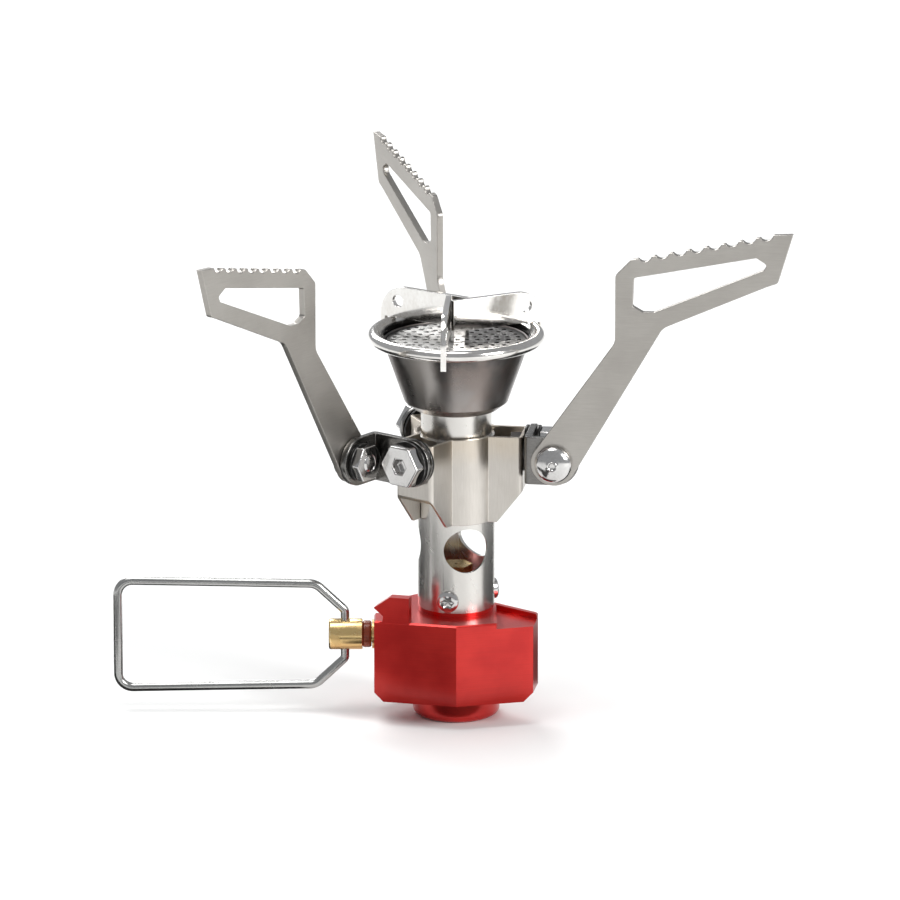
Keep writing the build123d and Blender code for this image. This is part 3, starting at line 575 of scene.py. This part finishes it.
# %% Black oxide, rubbers and bronze
BLACK_OXIDE = granular(
    "steel_black", light=(0.045, 0.044, 0.043), dark=(0.012, 0.012, 0.012),
    size=9.0, depth=0.004, metal=0.9, roughness=0.24,
)
AMBER_RING = granular(
    "ring_amber", light=(0.30, 0.055, 0.014), dark=(0.12, 0.018, 0.008),
    size=10.0, depth=0.003, metal=0.0, roughness=0.18,
)
RUBBER = granular(
    "rubber_black", light=(0.05, 0.05, 0.05), dark=(0.02, 0.02, 0.02),
    size=12.0, depth=0.006, metal=0.0, roughness=0.6,
)
SINTERED = granular(
    "bronze_sintered", light=(0.50, 0.36, 0.19), dark=(0.25, 0.17, 0.09),
    size=6.0, depth=0.05, metal=1.0, roughness=0.5,
)
print("made", ", ".join(made.name for made in (BLACK_OXIDE, AMBER_RING, RUBBER, SINTERED)))

# %% [markdown]
# ## Eased edges
#
# A CAD solid has perfectly sharp edges, and real metal never has. The light that runs along an eased edge is
# what makes a stamped plate look like metal. A Bevel modifier could do it, but here the new faces have to
# carry a mark, worn, that the finishes read, so the mesh is bevelled in place. First its loose triangles are
# merged into whole faces, because a bevel needs edges that are shared.


# %% Whole faces and eased edges
def whole_faces(node):
    """A copy of a CAD piece with its loose triangles merged into whole faces."""
    mesh = bmesh.new()
    mesh.from_mesh(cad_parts[node].data)
    bmesh.ops.remove_doubles(mesh, verts=mesh.verts, dist=0.002 * MM)
    bmesh.ops.dissolve_limit(mesh, angle_limit=math.radians(0.3), verts=mesh.verts, edges=mesh.edges)
    return mesh


def ease(mesh, width, turn):
    """Bevels every edge that turns by more than this many degrees, and marks the new faces as worn."""
    worn = mesh.faces.layers.float.new("worn")
    sharp = [e for e in mesh.edges if e.is_manifold and e.calc_face_angle() > math.radians(turn)]
    eased = bmesh.ops.bevel(
        mesh,
        geom=sharp,
        offset=width * MM,
        offset_type="OFFSET",
        affect="EDGES",
        segments=2,
        profile=0.5,
        material=-1,
        clamp_overlap=True,
    )
    for face in eased["faces"]:
        face[worn] = 1.0
    return mesh


print("edges can be eased")

# %% [markdown]
# ## From mesh to piece
#
# A piece needs three things said about it: the body it rides on, so that it moves with its joint, the
# material slot it belongs to, and the CAD pieces it stands for, which are then hidden. One function says all
# three. It also shades the mesh smooth up to an angle, so that flat faces stay flat and rounds stay round.


# %% Hand a mesh over
def hand_over(mesh, name, body, material, stands_for, smooth=40):
    """Makes a mesh into a piece of the stove that rides on a body and stands for CAD pieces."""
    data = bpy.data.meshes.new(name)
    mesh.to_mesh(data)
    mesh.free()
    data.polygons.foreach_set("use_smooth", [True] * len(data.polygons))
    data.set_sharp_from_angle(angle=math.radians(smooth))
    data.materials.append(material)
    piece = bpy.data.objects.new(name, data)
    bpy.context.scene.collection.objects.link(piece)
    evener = piece.modifiers.new("Even shading", "WEIGHTED_NORMAL")
    evener.keep_sharp = True
    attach(piece, body)
    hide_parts(*stands_for)
    return piece


def finished(node, body, material, width, turn=35, smooth=40):
    """The CAD piece again, with eased edges and its finish."""
    mesh = ease(whole_faces(node), width, turn)
    return hand_over(mesh, node + "_finished", body, material, [node], smooth)


print("pieces can be handed over")

# %% [markdown]
# ## Valve block
#
# The block is milled from bar, and its front is two flats that meet in a shallow upright ridge. Smooth
# shading would melt the ridge away, so the block's edges are eased from a smaller turn than other pieces'
# and its faces are smoothed only up to a small angle.

# %% Block
block = finished("valve_block", "stove", BLOCK_RED, 0.20, turn=20, smooth=16)
print("block has", len(block.data.polygons), "faces")

# %% [markdown]
# ## Arms, links, vanes and their fittings
#
# These pieces are stamped, bent or forged, and each has its own edge: a stamped arm is rounded by tumbling,
# a nut has a broad chamfer, and a vane is thin strip with hardly any. They could be modelled again from
# their outlines, but the CAD solids are already right, so each is copied and eased by its own width.

# %% Three arms with all that belongs to them
for letter in ARM_AZIMUTHS:
    link = "link_" + letter
    arm = finished("pot_arm_" + letter, "arm_" + letter, STEEL["arm_" + letter], 0.14)
    finished("arm_link_" + letter, link, STEEL[link], 0.16)
    finished("wind_vane_" + letter, "stove", STEEL["vane"], 0.06)
    finished("arm_nut_" + letter, link, STEEL["bolt"], 0.22)
    finished("link_bolt_" + letter, "stove", STEEL["bolt"], 0.28)
    finished("arm_washer_" + letter, link, BLACK_OXIDE, 0.12)
    finished("link_washers_" + letter, "stove", BLACK_OXIDE, 0.12)
print("one arm has", len(arm.data.polygons), "faces")

# %% [markdown]
# ## Yoke, stem tube and valve spindle
#
# The yoke is pressed sheet and the tube is drawn. Both are thin walls that a wide bevel would eat up, so
# theirs is about a tenth of a millimetre. The brass spindle is solid and turned, and a turner breaks every
# edge with a file, so its bevel can be wider.

# %% Yoke, tube and spindle
yoke = finished("support_yoke", "stove", STEEL["yoke"], 0.10)
tube = finished("stem_tube", "stove", STEEL["stem"], 0.08)
spindle = finished("valve_spindle", "spindle", BRASS, 0.15)
print("faces:", {piece.name: len(piece.data.polygons) for piece in (yoke, tube, spindle)})

# %% [markdown]
# ## Turned pieces
#
# A screw, a rivet head and a rolled rim are all round. A cylinder with loop cuts could be pushed into shape,
# but a spin draws the whole piece from its half section, a list of (radius, height) points, just as a lathe
# would. A star recess can't be turned, so it is pressed into the round one afterwards.


# %% Spin a half section
def spun(section, origin, axis, steps=48, star=None):
    """A round solid from (radius, height) points that start and end on its axis, or close on themselves."""
    mesh = bmesh.new()
    corners = [mesh.verts.new((radius * MM, 0, height * MM)) for radius, height in section]
    edges = [mesh.edges.new(pair) for pair in zip(corners, corners[1:])]
    if section[0][0] > 0:
        edges.append(mesh.edges.new((corners[-1], corners[0])))
    bmesh.ops.spin(
        mesh,
        geom=corners + edges,
        cent=(0, 0, 0),
        axis=(0, 0, 1),
        dvec=(0, 0, 0),
        angle=math.tau,
        steps=steps,
        use_merge=True,
        use_duplicate=False,
    )
    bmesh.ops.remove_doubles(mesh, verts=mesh.verts, dist=0.001 * MM)
    if star:
        press_star(mesh, **star)
    bmesh.ops.recalc_face_normals(mesh, faces=mesh.faces)
    turn = axis.to_track_quat("Z", "Y").to_matrix().to_4x4()
    bmesh.ops.transform(mesh, matrix=Matrix.Translation(origin * MM) @ turn, verts=mesh.verts)
    return mesh


def press_star(mesh, points, radius, height, depth):
    """Turns the round recess inside this radius and above this height into a star."""
    for vert in mesh.verts:
        reach = math.hypot(vert.co.x, vert.co.y)
        if 0 < reach < radius * MM and vert.co.z > height * MM:
            scale = 1 + depth * math.cos(points * math.atan2(vert.co.y, vert.co.x))
            vert.co.x *= scale
            vert.co.y *= scale


def arc(middle, radius, start, stop, count, rise=None):
    """Points on a circle in a half section, from one angle in degrees to another, or on a flatter ellipse."""
    angles = [math.radians(start + (stop - start) * k / count) for k in range(count + 1)]
    return [(middle[0] + radius * math.cos(a), middle[1] + (rise or radius) * math.sin(a)) for a in angles]


quarter = arc((0, 0), 1, 0, 90, count=10)
print("a quarter circle of", len(quarter), "points")

# %% [markdown]
# ## Arm pins
#
# Each arm swings on a riveted pin. Its domed, polished head has a dimple from the riveting tool, and that
# dimple is what gives the bright head its dark centre. It could be faked with a bump, but a bump shows no
# rim from the side, so the dimple is part of the half section.

# %% Pins with domed heads
PIVOT_HEIGHT = 49.0
PIVOT_REACH = 18.5
PIN_RADIUS, PIN_CHAMFER = 1.5, 0.3
PIN_END, HEAD_FOOT, HEAD_TOP = 4.54, 9.44, 11.54
HEAD_RADIUS, HEAD_EASE, HEAD_WALL = 3.3, 0.1, 0.5
DIMPLE = [(0.85, 0), (0.66, 0.08), (0.5, 0.35), (0, 0.45)]

dome_foot = HEAD_FOOT + HEAD_WALL
pin_section = [(0, PIN_END), (PIN_RADIUS - PIN_CHAMFER, PIN_END), (PIN_RADIUS, PIN_END + PIN_CHAMFER)]
pin_section += [(PIN_RADIUS, HEAD_FOOT), (HEAD_RADIUS - HEAD_EASE, HEAD_FOOT)]
pin_section += [(HEAD_RADIUS, HEAD_FOOT + HEAD_EASE), (HEAD_RADIUS, dome_foot)]
pin_section += arc((0, dome_foot), HEAD_RADIUS, 10, 74, count=8, rise=HEAD_TOP - dome_foot)
pin_section += [(radius, HEAD_TOP - depth) for radius, depth in DIMPLE]
for letter, azimuth in ARM_AZIMUTHS.items():
    pivot = outwards(azimuth, PIVOT_REACH) + UP * PIVOT_HEIGHT
    pin = spun(pin_section, pivot, outwards(azimuth - 90))
    name = f"arm_pin_{letter}_turned"
    hand_over(pin, name, "link_" + letter, STEEL["bolt"], ["arm_bolt_" + letter])
print("pins of", round(HEAD_TOP - PIN_END, 1), "mm")

# %% [markdown]
# ## Stem screws
#
# Three small screws hold the tube on the block's spigot. Their heads are rounded at the shoulder and have a
# star recess. Three objects would be simpler to make, but the screws are one CAD node, so three spun screws
# are gathered into one mesh that stands for it.

# %% Screws with star recesses
SCREW_HEIGHT = 22.3
SCREW_AZIMUTHS = (-102, 18, 138)
SCREW_RADIUS, SCREW_HEAD_RADIUS = 1.0, 1.9
SCREW_TIP, SCREW_SEAT, SCREW_TOP = 3.7, 6.45, 7.6
STAR = {"points": 6, "radius": 1.1, "height": 6.9, "depth": 0.2}

shoulder = [(SCREW_HEAD_RADIUS, 7.15), (1.8, 7.34), (1.55, 7.5), (1.2, 7.58)]
recess = [(1.05, SCREW_TOP), (0.85, 7.05), (0, 7.0)]
screw_section = [(0, SCREW_TIP), (SCREW_RADIUS, SCREW_TIP), (SCREW_RADIUS, SCREW_SEAT)]
screw_section += [(SCREW_HEAD_RADIUS, SCREW_SEAT), *shoulder, *recess]
screws = bmesh.new()
for azimuth in SCREW_AZIMUTHS:
    one = spun(screw_section, UP * SCREW_HEIGHT, outwards(azimuth), star=STAR)
    carrier = bpy.data.meshes.new("screw")
    one.to_mesh(carrier)
    one.free()
    screws.from_mesh(carrier)
    bpy.data.meshes.remove(carrier)
print(len(screws.faces), "faces on", len(SCREW_AZIMUTHS), "screws")
hand_over(screws, "stem_screws_turned", "stove", STEEL["bolt"], ["stem_screws"], smooth=25)

# %% [markdown]
# ## Burner rim
#
# The rim is a rolled bead with a flat lip inside it. A torus would give the bead alone. Seen from above the
# rim reads as two rings, one bright and one grey, so the lip and the bead each get their own curve in the
# half section, which closes on itself because the rim has no middle.

# %% Rim
BEAD_RADIUS = 1.12
BEAD_MIDDLE = (14.48, 69.17)

lip_below = [(13.0, 68.0), (13.35, 67.9), (13.75, 68.02)]
lip_above = [(13.28, 69.62), (13.06, 69.5), (13.0, 69.35)]
rim_section = lip_below + arc(BEAD_MIDDLE, BEAD_RADIUS, -115, 150, count=22) + lip_above
rim = spun(rim_section, UP * 0, UP, steps=128)
hand_over(rim, "burner_rim_rolled", "stove", STEEL["rim"], ["burner_rim"], smooth=50)
print("rim section of", len(rim_section), "points")

# %% [markdown]
# ## The pieces that stay as they are
#
# The seals, the filter, the jet and the needle are inside the block, and the wire handle, the cup and the
# plate are round or have their edges hidden. Easing would add faces and change nothing that is seen, so
# these CAD pieces stay, and only their materials are exchanged for finishes.

# %% Finishes of the CAD pieces
KEPT = {
    "canister_seal": RUBBER,
    "stem_seal": RUBBER,
    "valve_opener_pin": BRASS,
    "gas_jet": BRASS,
    "gland_nut": BRASS,
    "fuel_filter": SINTERED,
    "spindle_ring": AMBER_RING,
    "valve_needle": STEEL["needle"],
    "wire_handle": STEEL["wire"],
    "burner_neck": STEEL["stem"],
    "burner_cup": FIRED_CUP,
    "burner_plate": FIRED_PLATE,
}
for letter in ARM_AZIMUTHS:
    KEPT["link_nut_" + letter] = STEEL["bolt"]
for node, material in KEPT.items():
    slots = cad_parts[node].data.materials
    for index in range(len(slots)):
        slots[index] = material
print("finished", len(KEPT), "CAD pieces")

# %% [markdown]
# ## Floor
#
# The stove stands on a sheet of pale paper. A backdrop that curves up behind would do as well, but from this
# low camera a floor of a few metres fills the frame, and one flat sheet is enough.


# %% Paper and floor
def flat_sheet(name, corners, material):
    """A flat sheet of the studio, from its corners."""
    sheet = bmesh.new()
    sheet.faces.new([sheet.verts.new(corner) for corner in corners])
    data = bpy.data.meshes.new(name)
    sheet.to_mesh(data)
    sheet.free()
    data.materials.append(material)
    made = bpy.data.objects.new(name, data)
    bpy.context.scene.collection.objects.link(made)
    return made


def paper(name, colour, roughness):
    """Matt studio paper with a faint cloud in it."""
    finish = Finish(name)
    clouded = finish.blend(finish.noise(0.01), scaled(colour, 0.97), colour)
    return finish.set(Base_Color=clouded, Roughness=roughness)


FLOOR_HALF = 4
FLOOR_CORNERS = [(x * FLOOR_HALF, y * FLOOR_HALF, 0) for x, y in ((-1, -1), (1, -1), (1, 1), (-1, 1))]
flat_sheet("floor", FLOOR_CORNERS, paper("floor_pale", (0.88, 0.88, 0.87), 0.7))
print("floor of", 2 * FLOOR_HALF, "metres a side")

# %% [markdown]
# ## Dark cards for the reflections
#
# Polished metal has hardly any colour of its own: it shows the room, and in an all-white room it vanishes.
# A studio stands black cards beside it. This camera looks down a little, so an upright metal face mirrors
# the floor and not the walls. The cards therefore lie just above the floor, to the left, to the right and in
# front, and only reflections see them. They draw the dark edges along the tube and the cup, and make one
# flat of the block darker than the other.

# %% Cards
paper_black = paper("card_dark", (0.02, 0.02, 0.02), 0.9)
CARDS = {
    "card_left": [(187, 28), (187, 150), (155, 150), (122, 150), (122, 28)],
    "card_right": [(-7, 28), (-7, 150), (25, 150), (58, 150), (58, 28)],
    "card_front": [
        *[(-106, 29), (-101, 92), (-135, 106), (-157, 141)],
        *[(-172, 131), (-165, 86), (-135, 66), (-126, 36)],
    ],
    "card_foot": [(-130, 31), (-50, 31), (-23, 22), (-157, 22)],
}


def reflected_card(name, outline):
    """A dark card just above the floor, from (azimuth, distance in mm) corners. Only reflections see it."""
    corners = [outwards(azimuth, distance * MM) + UP * MM for azimuth, distance in outline]
    card = flat_sheet(name, corners, paper_black)
    card.visible_camera = False
    card.visible_diffuse = False
    card.visible_shadow = False


for name, outline in CARDS.items():
    reflected_card(name, outline)
print(len(CARDS), "cards")

# %% [markdown]
# ## Lamps
#
# One large soft lamp on the right in front is the key. A second one high above fills the plate and the
# teeth, and a third behind the stove draws a bright line along its edges. Small lamps would give hard
# shadows and sparks, so all three are squares of about half a metre.


# %% Three soft lamps
def soft_lamp(name, place, aim, size, power):
    """A square soft lamp that looks at a point."""
    light = bpy.data.lights.new(name, "AREA")
    light.size = size
    light.energy = power
    lamp = bpy.data.objects.new(name, light)
    lamp.location = place
    lamp.rotation_euler = (Vector(aim) - Vector(place)).to_track_quat("-Z", "Y").to_euler()
    bpy.context.scene.collection.objects.link(lamp)


middle = (cad_low + cad_high) / 2
soft_lamp("key_lamp", (0.75, -0.60, 0.55), middle, size=0.40, power=9.0)
soft_lamp("top_lamp", (-0.20, -0.10, 1.10), middle, size=0.60, power=6.0)
soft_lamp("back_lamp", (-0.30, 0.85, 0.60), middle, size=0.50, power=5.0)
print("lamps aim at", [round(1000 * part, 1) for part in middle], "mm")

# %% [markdown]
# ## Room and camera
#
# The room is a plain bright grey, a touch blue, that fills what the lamps leave. A camera close by would
# make the nearest arm look too large. This one stands well back with a long lens, so that the arms in front
# and behind keep nearly one scale.

# %% Room and camera
ROOM_COLOUR = (0.92, 0.94, 0.97, 1)
ROOM_STRENGTH = 0.42
ELEVATION = 15.5
DISTANCE = 1.65
SENSOR_WIDTH = 36.0
LENS = 372.0

room = bpy.data.worlds.new("room")
bpy.context.scene.world = room
room.use_nodes = True
backdrop = room.node_tree.nodes["Background"]
backdrop.inputs["Color"].default_value = ROOM_COLOUR
backdrop.inputs["Strength"].default_value = ROOM_STRENGTH

eye = bpy.data.cameras.new("eye")
eye.sensor_width = SENSOR_WIDTH
eye.lens = LENS
camera = bpy.data.objects.new("eye", eye)
down = math.radians(ELEVATION)
camera.location = middle + Vector((0, -math.cos(down), math.sin(down))) * DISTANCE
camera.rotation_euler = Euler((math.radians(90 - ELEVATION), 0, 0))
bpy.context.scene.collection.objects.link(camera)
bpy.context.scene.camera = camera
bpy.context.scene.view_settings.view_transform = "Standard"
print("camera", DISTANCE, "m away,", ELEVATION, "degrees up")
